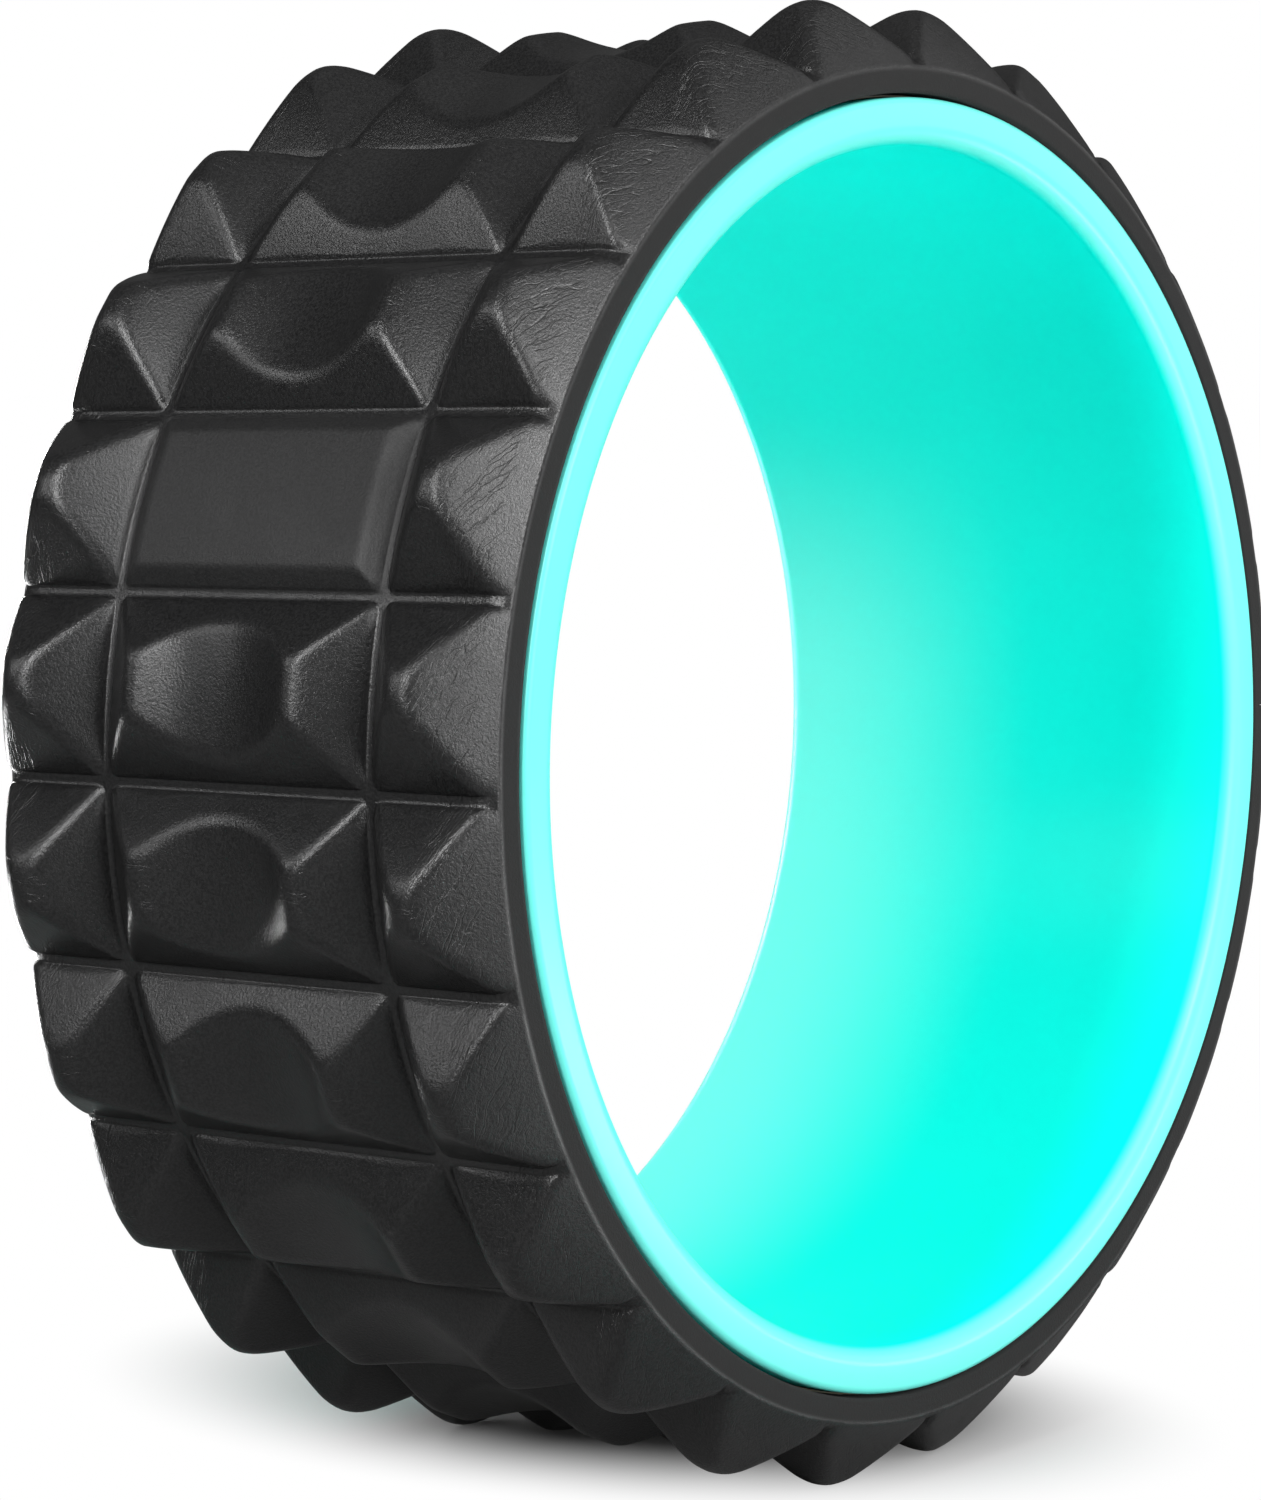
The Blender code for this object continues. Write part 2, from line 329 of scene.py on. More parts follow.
def makeRing(material):
    # a rounded section, swept round a circle
    sizes = (
        ("Outer Radius", "NodeSocketFloat", ring["outerRadius"]),
        ("Wall", "NodeSocketFloat", ring["wall"]),
        ("Width", "NodeSocketFloat", ring["width"]),
        ("Outer Rounding", "NodeSocketFloat", ring["outerRounding"]),
        ("Bore Rounding", "NodeSocketFloat", ring["boreRounding"]),
        ("Steps Round", "NodeSocketInt", ring["stepsRound"]),
        ("Rounding Steps", "NodeSocketInt", ring["stepsPerRounding"]),
        ("Material", "NodeSocketMaterial", None),
    )
    tree, source, result = newGeometryTree("sweptRing", sizes)
    given = source.outputs
    half = mathNode(tree, "MULTIPLY", given["Wall"], 0.5)
    middle = mathNode(tree, "SUBTRACT", given["Outer Radius"], half)
    section = addNode(tree, "GeometryNodeCurvePrimitiveQuadrilateral", mode="RECTANGLE")
    tree.links.new(given["Wall"], section.inputs["Width"])
    tree.links.new(given["Width"], section.inputs["Height"])
    # the section's points with x above zero are on the outside of the ring
    spot = addNode(tree, "GeometryNodeInputPosition")
    apart = wire(tree, spot, addNode(tree, "ShaderNodeSeparateXYZ"))
    outside = addNode(tree, "FunctionNodeCompare", data_type="FLOAT", operation="GREATER_THAN")
    wire(tree, apart, outside)
    choose = addNode(tree, "GeometryNodeSwitch", input_type="FLOAT")
    wire(tree, outside, choose, "Switch")
    tree.links.new(given["Bore Rounding"], choose.inputs["False"])
    tree.links.new(given["Outer Rounding"], choose.inputs["True"])
    fillet = addNode(tree, "GeometryNodeFilletCurve", mode="POLY")
    wire(tree, section, fillet, "Curve")
    wire(tree, choose, fillet, "Radius")
    tree.links.new(given["Rounding Steps"], fillet.inputs["Count"])
    path = addNode(tree, "GeometryNodeCurvePrimitiveCircle", mode="RADIUS")
    tree.links.new(given["Steps Round"], path.inputs["Resolution"])
    tree.links.new(middle, path.inputs["Radius"])
    sweep = addNode(tree, "GeometryNodeCurveToMesh")
    wire(tree, path, sweep, "Curve")
    wire(tree, fillet, sweep, "Profile Curve")
    stand = addNode(tree, "GeometryNodeTransform", {"Rotation": Euler((math.radians(90), 0.0, 0.0))})
    wire(tree, sweep, stand)
    smooth = wire(tree, stand, addNode(tree, "GeometryNodeSetShadeSmooth"))
    realize = wire(tree, smooth, addNode(tree, "GeometryNodeRealizeInstances"))
    paint = wire(tree, realize, addNode(tree, "GeometryNodeSetMaterial"))
    tree.links.new(given["Material"], paint.inputs["Material"])
    wire(tree, paint, result)
    piece = runTree("mintRing", tree, {"Material": material})
    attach(piece, "root")
    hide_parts("core_ring")
    return piece


ringPiece = makeRing(makePlastic())
ringSize = [round(value, 4) for value in ringPiece.dimensions]
print("ring made:", len(ringPiece.data.polygons), "faces, size", ringSize)


# The foam tread.

tread = {
    "innerRadius": 0.1362,
    "grooveRadius": 0.1440,
    "shift": 0.00125,
    "halfWidth": 0.0636,
    "farCut": 0.0012,
    "nearFlare": 0.0005,
    "rows": 24,
    "buttFromBottom": 6,
    "padRow": 10,
    "grooveHalf": 0.00085,
    "columnGroove": 0.0343,
    "bulge": 0.15,
    "step": 0.00024,
    "stepRun": 0.00055,
    "cornerRounding": 0.0018,
    "endRounding": 0.0042,
    "edgeDrop": 0.0019,
    "edgeRun": 0.0060,
    "lipRounding": 0.0016,
    "lipStart": 0.85,
    "lineSpacing": 0.0012,
    "linesOnTop": 9,
    "linesOnSlope": 10,
    "hipLines": 0.0014,
    "leastTop": 0.0025,
    "leastEnd": 0.0020,
    "grooveLine": 0.0002,
    "lipSteps": 5,
    "wallSteps": 6,
    "sameLine": 0.00001,
    "weld": 0.00002,
    "unevenness": 0.00012,
    "unevenFrom": 0.1375,
    "unevenTo": 0.1400,
    "unevenPerMetre": 55.0,
    "seamDepth": 0.0016,
    "seamFull": 0.00002,
    "seamEnd": 0.00012,
}

sideBlock = {
    "height": 0.0123,
    "topFrom": 0.0473,
    "topTo": 0.0519,
    "topHalfLength": 0.0037,
    "hipRounding": 0.0027,
    "topRounding": 0.0025,
}

middleBlock = {
    "height": 0.0098,
    "sideRun": 0.0120,
    "ridgeHalfLength": 0.00585,
    "channelFloor": 0.0040,
    "channelRadius": 0.0350,
    "channelReach": 0.98,
    "hipRounding": 0.0017,
    "topRounding": 0.0018,
}

pad = {
    "height": 0.0030,
    "sideRun": 0.0044,
    "endRun": 0.0041,
    "rounding": 0.0004,
}


def smoothMin(first, second, rounding):
    near = np.maximum(rounding - np.abs(first - second), 0.0)
    return np.minimum(first, second) - near * near / (4 * rounding)


def insideBy(along, across, low, high, corners, rowHalf):
    # how far a point lies inside a block's rounded outline
    half = (high - low) / 2
    x = np.abs(along) - (rowHalf - corners)
    y = np.abs(across - (low + high) / 2) - (half - corners)
    outer = np.hypot(np.maximum(x, 0.0), np.maximum(y, 0.0))
    return corners - outer - np.minimum(np.maximum(x, y), 0.0)


def floorLevel(across):
    # the groove floor rolls down towards the strip's edges
    past = np.maximum(across - (tread["halfWidth"] - tread["edgeRun"]), 0.0) / tread["edgeRun"]
    return -tread["edgeDrop"] * past * past


def bulged(share):
    # a flank that is a little steeper at its foot than at its crest
    return share + tread["bulge"] * share * (1 - share)


def sideLevel(along, across, rowHalf):
    inner = tread["columnGroove"] + tread["grooveHalf"]
    top = sideBlock["height"]
    inward = top * bulged((across - inner) / (sideBlock["topFrom"] - inner))
    foot = tread["halfWidth"]
    drop = float(floorLevel(np.array(foot)))
    outward = (top - drop) * bulged((foot - across) / (foot - sideBlock["topTo"])) + drop
    endways = top * (rowHalf - np.abs(along)) / (rowHalf - sideBlock["topHalfLength"])
    level = smoothMin(inward, outward, sideBlock["hipRounding"])
    level = smoothMin(level, endways, sideBlock["hipRounding"])
    return smoothMin(level, np.full_like(level, top), sideBlock["topRounding"])


def middleLevel(along, across, rowHalf):
    edge = tread["columnGroove"] - tread["grooveHalf"]
    top = middleBlock["height"]
    sideways = top * bulged((edge - across) / middleBlock["sideRun"])
    endways = top * (rowHalf - np.abs(along)) / (rowHalf - middleBlock["ridgeHalfLength"])
    radius = middleBlock["channelRadius"]
    reach = np.minimum(across, middleBlock["channelReach"] * radius)
    channel = middleBlock["channelFloor"] + radius - np.sqrt(radius * radius - reach * reach)
    level = smoothMin(sideways, channel, middleBlock["topRounding"])
    level = smoothMin(level, np.full_like(level, top), middleBlock["topRounding"])
    return smoothMin(level, endways, middleBlock["hipRounding"])


def padLevel(along, across, rowHalf):
    edge = tread["columnGroove"] - tread["grooveHalf"]
    sideways = pad["height"] * (edge - across) / pad["sideRun"]
    endways = pad["height"] * (rowHalf - np.abs(along)) / pad["endRun"]
    level = smoothMin(sideways, endways, pad["rounding"])
    return smoothMin(level, np.full_like(level, pad["height"]), pad["rounding"])


def rowLevel(along, y, withPad):
    # height of the foam above the groove radius over one row
    across = np.abs(y)
    rowHalf = math.pi * tread["grooveRadius"] / tread["rows"] - tread["grooveHalf"]
    ground = floorLevel(across)
    edge = tread["columnGroove"] - tread["grooveHalf"]
    middle = (padLevel if withPad else middleLevel)(along, across, rowHalf)
    side = sideLevel(along, across, rowHalf)
    inMiddle = insideBy(along, across, -edge, edge, tread["cornerRounding"], rowHalf)
    # a side block's outer corners are rounder than its inner ones, so the grooves flare at the edges,
    # and its outer flank has no step at the foot
    sideStart = tread["columnGroove"] + tread["grooveHalf"]
    sideEnd = tread["halfWidth"] + tread["stepRun"]
    inSide = np.minimum(
        insideBy(along, across, sideStart, 2 * sideEnd, tread["cornerRounding"], rowHalf),
        insideBy(along, across, 0.0, sideEnd, tread["endRounding"], rowHalf),
    )
    level = ground
    for block, inside in ((middle, inMiddle), (side, inSide)):
        share = np.clip(inside / tread["stepRun"], 0.0, 1.0)
        share = share * share * (3 - 2 * share)
        level = np.where(inside > 0, ground + (block + tread["step"] - ground) * share, level)
    return level


def linesBetween(stops, spacing):
    # evenly filled lines between given stops
    lines = [stops[0]]
    for start, end in zip(stops, stops[1:]):
        count = max(1, math.ceil((end - start) / spacing - 1e-6))
        lines += [start + (end - start) * k / count for k in range(1, count + 1)]
    return np.array(lines)


def crossingLines():
    # positions across the strip, closer together at the grooves, the blocks' crests and the edges
    run = tread["stepRun"]
    half = tread["grooveHalf"]
    near = tread["hipLines"]
    groove = tread["columnGroove"]
    radius = middleBlock["channelRadius"]
    rise = middleBlock["height"] - middleBlock["channelFloor"]
    channelEdge = math.sqrt(radius * radius - (radius - rise) ** 2)
    crestEnd = groove - half - middleBlock["sideRun"]
    stops = [0.0]
    for edge in (channelEdge, crestEnd, sideBlock["topFrom"], sideBlock["topTo"]):
        stops += [edge - near, edge, edge + near]
    stops += [groove - half - run, groove - half - run / 2, groove - half, groove]
    stops += [groove + half, groove + half + run / 2, groove + half + run]
    farEdge = tread["halfWidth"] - tread["farCut"]
    stops += [tread["halfWidth"] - tread["edgeRun"], farEdge, tread["halfWidth"]]
    lines = linesBetween(sorted(stops), tread["lineSpacing"])
    return np.concatenate([-lines[:0:-1], lines[lines < farEdge + tread["sameLine"]]])


def hipLine(across, withPad):
    # where a block's sloping end begins, for each line along the strip
    rowHalf = math.pi * tread["grooveRadius"] / tread["rows"] - tread["grooveHalf"]
    crest = rowLevel(np.zeros_like(across), across, withPad) - tread["step"]
    sideRun = (rowHalf - sideBlock["topHalfLength"]) / sideBlock["height"]
    middleRun = (rowHalf - middleBlock["ridgeHalfLength"]) / middleBlock["height"]
    if withPad:
        middleRun = pad["endRun"] / pad["height"]
    run = np.where(np.abs(across) > tread["columnGroove"], sideRun, middleRun)
    return np.clip(rowHalf - np.maximum(crest, 0.0) * run, tread["leastTop"], rowHalf - tread["leastEnd"])


def alongLines(across, withPad):
    # positions along one row, a line for each crossing line; some of them follow the hips
    rowHalf = math.pi * tread["grooveRadius"] / tread["rows"]
    end = rowHalf - tread["grooveHalf"]
    run = tread["stepRun"]
    near = tread["hipLines"]
    hip = hipLine(across, withPad)
    lines = [(hip - near) * k / tread["linesOnTop"] for k in range(tread["linesOnTop"])]
    lines += [hip + near * share for share in (-1.0, -0.5, 0.0, 0.5)]
    count = tread["linesOnSlope"]
    lines += [hip + near + (end - run - hip - near) * k / count for k in range(count)]
    straight = (end - run, end - run / 2, end, rowHalf - tread["grooveLine"], rowHalf)
    lines += [np.full_like(hip, value) for value in straight]
    half = np.stack(lines)
    return np.concatenate([-half[:0:-1], half])


def rowMesh(name, withPad):
    # one row of blocks, bent round the wheel at the bottom, with its walls and its inner face
    across = crossingLines()
    s = alongLines(across, withPad)
    y = np.broadcast_to(across, s.shape)
    level = rowLevel(s, y, withPad)
    radius = tread["grooveRadius"] + level
    turn = s / tread["grooveRadius"]
    # the lip turns from the flank's slope to the walls, which go down to the ring
    lip = tread["lipRounding"]
    start = tread["lipStart"]
    edgeRadius = radius[:, :1]
    farRadius = radius[:, -1:]
    inner = tread["innerRadius"]
    nearR, nearY, farR, farY = [], [], [], []
    near = -tread["halfWidth"]
    far = tread["halfWidth"] - tread["farCut"]
    for step in range(1, tread["lipSteps"] + 1):
        angle = start + (math.pi / 2 - start) * step / tread["lipSteps"]
        lipDown = lip * (math.cos(start) - math.cos(angle))
        lipOut = lip * (math.sin(angle) - math.sin(start))
        nearR.append(edgeRadius - lipDown)
        nearY.append(np.full_like(edgeRadius, near - lipOut))
        farR.append(farRadius - lipDown)
        farY.append(np.full_like(farRadius, far))
    # each wall starts at the last point of its lip
    for step in range(1, tread["wallSteps"] + 1):
        share = step / tread["wallSteps"]
        nearR.append(edgeRadius - lipDown - (edgeRadius - lipDown - inner) * share)
        nearY.append(np.full_like(edgeRadius, near - lipOut - (tread["nearFlare"] - lipOut) * share))
        farR.append(farRadius - lipDown - (farRadius - lipDown - inner) * share)
        farY.append(np.full_like(farRadius, far))
    allR = np.concatenate(nearR[::-1] + [radius] + farR, axis=1)
    allY = np.concatenate(nearY[::-1] + [y] + farY, axis=1)
    allTurn = np.concatenate([turn[:, :1]] * len(nearR) + [turn] + [turn[:, -1:]] * len(farR), axis=1)
    points = np.stack([allR * np.sin(allTurn), allY + tread["shift"], -allR * np.cos(allTurn)], axis=-1)
    rows, cols = allR.shape
    index = np.arange(rows * cols).reshape(rows, cols)
    corners = [index[:-1, :-1], index[:-1, 1:], index[1:, 1:], index[1:, :-1]]
    quads = np.stack(corners, axis=-1).reshape(-1, 4)
    # the inner face joins the two walls' last points
    bridge = np.stack([index[:-1, -1], index[:-1, 0], index[1:, 0], index[1:, -1]], axis=-1)
    faces = np.concatenate([quads, bridge])
    mesh = bpy.data.meshes.new(name)
    mesh.from_pydata(points.reshape(-1, 3).tolist(), [], faces.tolist())
    mesh.update()
    made = bpy.data.objects.new(name, mesh)
    scene.collection.objects.link(made)
    return made


def makeTreadTree():
    # copies the row round the wheel, welds the copies and gives the skin its unevenness
    sizes = (
        ("Row", "NodeSocketObject", None),
        ("Pad Row", "NodeSocketObject", None),
        ("Rows", "NodeSocketInt", tread["rows"]),
        ("Pad Index", "NodeSocketInt", tread["padRow"]),
        ("Rows To Butt", "NodeSocketFloat", tread["buttFromBottom"] + 0.5),
        ("Groove Radius", "NodeSocketFloat", tread["grooveRadius"]),
        ("Unevenness", "NodeSocketFloat", tread["unevenness"]),
        ("Seam Depth", "NodeSocketFloat", tread["seamDepth"]),
        ("Seed", "NodeSocketFloat", 4.0),
        ("Material", "NodeSocketMaterial", None),
    )
    tree, source, result = newGeometryTree("treadRows", sizes)
    given = source.outputs
    points = addNode(tree, "GeometryNodePoints")
    tree.links.new(given["Rows"], points.inputs["Count"])
    index = addNode(tree, "GeometryNodeInputIndex").outputs[0]
    pitch = mathNode(tree, "DIVIDE", 2 * math.pi, given["Rows"])
    turn = mathNode(tree, "MULTIPLY", mathNode(tree, "ADD", index, given["Rows To Butt"]), pitch)
    euler = addNode(tree, "ShaderNodeCombineXYZ")
    tree.links.new(mathNode(tree, "MULTIPLY", turn, -1.0), euler.inputs["Y"])
    rotation = wire(tree, euler, addNode(tree, "FunctionNodeEulerToRotation"))
    isPad = addNode(tree, "FunctionNodeCompare", data_type="INT", operation="EQUAL")
    tree.links.new(index, isPad.inputs[2])
    tree.links.new(given["Pad Index"], isPad.inputs[3])
    notPad = wire(tree, isPad, addNode(tree, "FunctionNodeBooleanMath", operation="NOT"))
    join = addNode(tree, "GeometryNodeJoinGeometry")
    for label, chosen in (("Row", notPad), ("Pad Row", isPad)):
        info = addNode(tree, "GeometryNodeObjectInfo")
        tree.links.new(given[label], info.inputs["Object"])
        place = addNode(tree, "GeometryNodeInstanceOnPoints")
        wire(tree, points, place, "Points")
        wire(tree, chosen, place, "Selection")
        tree.links.new(info.outputs["Geometry"], place.inputs["Instance"])
        wire(tree, rotation, place, "Rotation")
        wire(tree, place, join)
    realize = wire(tree, join, addNode(tree, "GeometryNodeRealizeInstances"))
    weld = wire(tree, realize, addNode(tree, "GeometryNodeMergeByDistance", {"Distance": tread["weld"]}))

    # where each point is on the flat strip: along it from the butt, across it, and above the grooves
    spot = addNode(tree, "GeometryNodeInputPosition")
    apart = wire(tree, spot, addNode(tree, "ShaderNodeSeparateXYZ")).outputs
    x, y, z = apart["X"], apart["Y"], apart["Z"]
    angle = mathNode(tree, "ARCTAN2", mathNode(tree, "MULTIPLY", z, -1.0),
                     mathNode(tree, "MULTIPLY", x, -1.0))
    along = mathNode(tree, "MULTIPLY", mathNode(tree, "ADD", angle, math.pi), given["Groove Radius"])
    radius = mathNode(tree, "SQRT", mathNode(tree, "ADD", mathNode(tree, "MULTIPLY", x, x),
                                             mathNode(tree, "MULTIPLY", z, z)))
    above = mathNode(tree, "SUBTRACT", radius, given["Groove Radius"])
    flat = addNode(tree, "ShaderNodeCombineXYZ")
    for socket, value in enumerate((along, y, above)):
        tree.links.new(value, flat.inputs[socket])
    keep = addNode(tree, "GeometryNodeStoreNamedAttribute", {"Name": "strip"},
                   data_type="FLOAT_VECTOR", domain="POINT")
    wire(tree, weld, keep, "Geometry")
    wire(tree, flat, keep, "Value")

    # soft unevenness of the skin, none on the face against the ring
    skin = rangeNode(tree, radius, tread["unevenFrom"], tread["unevenTo"])
    swell = {"Scale": tread["unevenPerMetre"], "Detail": 2.0, "Roughness": 0.45}
    slow = addNode(tree, "ShaderNodeTexNoise", swell, noise_dimensions="4D")
    tree.links.new(given["Seed"], slow.inputs["W"])
    lift = mathNode(tree, "MULTIPLY", mathNode(tree, "SUBTRACT", slow.outputs[0], 0.5), given["Unevenness"])
    lift = mathNode(tree, "MULTIPLY", mathNode(tree, "MULTIPLY", lift, 2.0), skin)
    # the butt joint, a narrow slit in the groove at +X
    beside = mathNode(tree, "ABSOLUTE", z)
    slit = rangeNode(tree, beside, tread["seamFull"], tread["seamEnd"], 1.0, 0.0)
    onButt = mathNode(tree, "MULTIPLY", slit, mathNode(tree, "GREATER_THAN", x, 0.0))
    sink = mathNode(tree, "MULTIPLY", mathNode(tree, "MULTIPLY", onButt, skin), given["Seam Depth"])
    normal = addNode(tree, "GeometryNodeInputNormal")
    shift = addNode(tree, "ShaderNodeVectorMath", operation="SCALE")
    wire(tree, normal, shift)
    tree.links.new(mathNode(tree, "SUBTRACT", lift, sink), shift.inputs["Scale"])
    move = addNode(tree, "GeometryNodeSetPosition")
    wire(tree, keep, move)
    wire(tree, shift, move, "Offset")
    smooth = wire(tree, move, addNode(tree, "GeometryNodeSetShadeSmooth"))
    plain = wire(tree, smooth, addNode(tree, "GeometryNodeRealizeInstances"))
    paint = wire(tree, plain, addNode(tree, "GeometryNodeSetMaterial"))
    tree.links.new(given["Material"], paint.inputs["Material"])
    wire(tree, paint, result)
    return tree


foam = {
    "dark": (0.0030, 0.0030, 0.0032),
    "pale": (0.0160, 0.0160, 0.0162),
    "wall": (0.0040, 0.0039, 0.0039),
    "crease": (0.0055, 0.0055, 0.0055),
    "roughness": 0.30,
    "smoother": 0.02,
    "rougher": 0.03,
    "padRougher": 0.25,
    "wallRoughness": 0.95,
    "specular": 0.62,
    "grain": {"Grains Per Metre": 1700.0, "Roughness": 0.8},
    "mottle": {"Patches Per Metre": 60.0},
    "mottleShare": 0.20,
    "padEndFade": 0.0010,
    "padSideFade": (0.0335, 0.0345),
    "wallFade": (-0.0035, -0.0022),
    "longCreases": {
        "Turn": -0.42, "Lines Per Metre": 1300.0, "Runs Per Metre": 120.0, "Width": 0.085, "Least": 0.42,
    },
    "creasesFrom": (0.0505, 0.0535),
    "creasesTo": (0.0600, 0.0620),
    "shortCracks": {
        "Turn": 1.45, "Lines Per Metre": 1100.0, "Runs Per Metre": 200.0, "Width": 0.05, "Least": 0.52,
    },
    "sidePeak": 0.0496,
    "sidePeakFade": (0.003, 0.008),
    "middlePeak": 0.0205,
    "middlePeakFade": (0.002, 0.006),
    "cracksAlong": (0.006, 0.012),
    "cracksAbove": (0.0070, 0.0088),
    "crackShare": 0.8,
    "grainHeight": 1.5,
    "creaseHeight": 0.75,
    "bump": 0.00007,
}


def nearPeak(tree, across, peak, fade):
    # 1 at a line of peaks, fading out on both sides of it
    away = mathNode(tree, "ABSOLUTE", mathNode(tree, "SUBTRACT", across, peak))
    return rangeNode(tree, away, *fade, 1.0, 0.0)


def makeFoam():
    made, tree, shader = newMaterial("blackFoam")
    place = addNode(tree, "ShaderNodeTexCoord").outputs["Object"]
    strip = addNode(tree, "ShaderNodeAttribute", attribute_name="strip").outputs["Vector"]
    apart = addNode(tree, "ShaderNodeSeparateXYZ")
    tree.links.new(strip, apart.inputs[0])
    above = apart.outputs["Z"]
    grain = useGroup(tree, grainGroup, place, foam["grain"]).outputs
    mottle = useGroup(tree, mottleGroup, place, foam["mottle"]).outputs["Mask"]

    # how far across the strip a point is, how far along its own block, and whether it is on the pad
    across = mathNode(tree, "ABSOLUTE", mathNode(tree, "SUBTRACT", apart.outputs["Y"], tread["shift"]))
    pitch = 2 * math.pi * tread["grooveRadius"] / tread["rows"]
    along = mathNode(tree, "WRAP", apart.outputs["X"], pitch, 0.0)
    along = mathNode(tree, "ABSOLUTE", mathNode(tree, "SUBTRACT", along, pitch / 2))
    padMiddle = (tread["padRow"] + 0.5) * pitch
    fromPad = mathNode(tree, "ABSOLUTE", mathNode(tree, "SUBTRACT", apart.outputs["X"], padMiddle))
    padEnd = pitch / 2
    onPad = rangeNode(tree, fromPad, padEnd - foam["padEndFade"], padEnd, 1.0, 0.0)
    onPad = mathNode(tree, "MULTIPLY", onPad, rangeNode(tree, across, *foam["padSideFade"], 1.0, 0.0))

    # long creases lean across the outer flanks, and short cracks cross the blocks' peaks
    outer = mathNode(tree, "MULTIPLY", rangeNode(tree, across, *foam["creasesFrom"]),
                     rangeNode(tree, across, *foam["creasesTo"], 1.0, 0.0))
    long = useGroup(tree, creaseGroup, strip, foam["longCreases"]).outputs["Mask"]
    long = mathNode(tree, "MULTIPLY", long, outer)
    peaks = mathNode(tree, "MAXIMUM", nearPeak(tree, across, foam["sidePeak"], foam["sidePeakFade"]),
                     nearPeak(tree, across, foam["middlePeak"], foam["middlePeakFade"]))
    peaks = mathNode(tree, "MULTIPLY", peaks, rangeNode(tree, along, *foam["cracksAlong"], 1.0, 0.0))
    peaks = mathNode(tree, "MULTIPLY", peaks, rangeNode(tree, above, *foam["cracksAbove"]))
    short = useGroup(tree, creaseGroup, strip, foam["shortCracks"]).outputs["Mask"]
    short = mathNode(tree, "MULTIPLY", short, peaks)
    crease = mathNode(tree, "MAXIMUM", long, mathNode(tree, "MULTIPLY", short, foam["crackShare"]))

    # the cut wall beside the ring is duller than the moulded skin
    wall = rangeNode(tree, above, *foam["wallFade"], 1.0, 0.0)
    skinColour = mixColours(tree, grain["Mask"], foam["dark"], foam["pale"])
    darker = mathNode(tree, "MULTIPLY", mottle, foam["mottleShare"])
    skinColour = mixColours(tree, darker, skinColour, foam["dark"])
    skinColour = mixColours(tree, crease, skinColour, foam["crease"])
    tree.links.new(mixColours(tree, wall, skinColour, foam["wall"]), shader.inputs["Base Color"])
    smoothest = foam["roughness"] - foam["smoother"]
    roughest = foam["roughness"] + foam["rougher"]
    rough = rangeNode(tree, mottle, 0.0, 1.0, smoothest, roughest)
    rough = mathNode(tree, "ADD", rough, mathNode(tree, "MULTIPLY", onPad, foam["padRougher"]))
    mixRough = addNode(tree, "ShaderNodeMix", data_type="FLOAT")
    tree.links.new(wall, mixRough.inputs[0])
    tree.links.new(rough, mixRough.inputs[2])
    mixRough.inputs[3].default_value = foam["wallRoughness"]
    tree.links.new(mixRough.outputs[0], shader.inputs["Roughness"])
    shader.inputs["Specular IOR Level"].default_value = foam["specular"]
    height = mathNode(tree, "SUBTRACT", mathNode(tree, "MULTIPLY", grain["Height"], foam["grainHeight"]),
                      mathNode(tree, "MULTIPLY", crease, foam["creaseHeight"]))
    bumpInto(tree, shader, height, foam["bump"])
    return made


def makeTread(material):
    row = rowMesh("plainRow", False)
    padded = rowMesh("padRow", True)
    piece = runTree("foamTread", makeTreadTree(), {"Row": row, "Pad Row": padded, "Material": material})
    bpy.data.objects.remove(row, do_unlink=True)
    bpy.data.objects.remove(padded, do_unlink=True)
    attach(piece, "root")
    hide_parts("foam_tread")
    return piece


treadPiece = makeTread(makeFoam())
treadSize = [round(value, 4) for value in treadPiece.dimensions]
print("tread made:", len(treadPiece.data.polygons), "faces, size", treadSize)


# The glue between them, which is the CAD node itself.

glue = {
    "dark": (0.10, 0.085, 0.05),
    "pale": (0.16, 0.14, 0.09),
    "smoothest": 0.35,
    "roughest": 0.5,
    "mottle": {"Patches Per Metre": 80.0},
    "grain": {"Grains Per Metre": 700.0},
    "bump": 0.0001,
}


def makeGlue():
    made, tree, shader = newMaterial("contactGlue")
    place = addNode(tree, "ShaderNodeTexCoord").outputs["Object"]
    mottle = useGroup(tree, mottleGroup, place, glue["mottle"]).outputs["Mask"]
    grain = useGroup(tree, grainGroup, place, glue["grain"]).outputs
    colour = mixColours(tree, mottle, glue["dark"], glue["pale"])
    tree.links.new(colour, shader.inputs["Base Color"])
    rough = rangeNode(tree, mottle, 0.0, 1.0, glue["smoothest"], glue["roughest"])
    tree.links.new(rough, shader.inputs["Roughness"])
    bumpInto(tree, shader, grain["Height"], glue["bump"])
    return made


gluePiece = bpy.data.objects["bond_film"]
gluePiece.data.materials.clear()
gluePiece.data.materials.append(makeGlue())
print("glue painted")


# The floor, the light and the camera.

# name, azimuth and elevation in degrees, distance, width, height, watts and spread in degrees
lamps = (
    ("frontLow", -23, 7, 1.6, 0.6, 0.35, 5.0, 180),
    ("frontKey", -10, 26, 1.6, 0.4, 0.4, 9.5, 180),
    ("frontLeft", -36, 38, 1.6, 0.4, 0.5, 5.2, 180),
    ("frontRight", 16, 40, 1.6, 0.6, 0.6, 3.4, 180),
    ("rightHigh", 60, 38, 1.7, 1.2, 0.8, 1.6, 180),
    ("floorFill", 30, -17, 0.50, 0.40, 0.08, 1.2, 180),
    ("backFill", 178, -17, 0.50, 0.30, 0.08, 1.6, 180),
    ("sideStrip", -84, 27, 1.6, 0.13, 0.9, 14.0, 180),
    ("leftRear", -124, 24, 1.5, 0.30, 0.40, 2.7, 180),
    ("rimSheen", 52, 11, 1.7, 1.2, 0.6, 3.5, 180),
    ("boreGlow", 168, 8, 0.32, 0.12, 0.12, 0.36, 60),
    ("topPanel", 0, 89, 1.5, 1.6, 1.6, 1.2, 180),
)

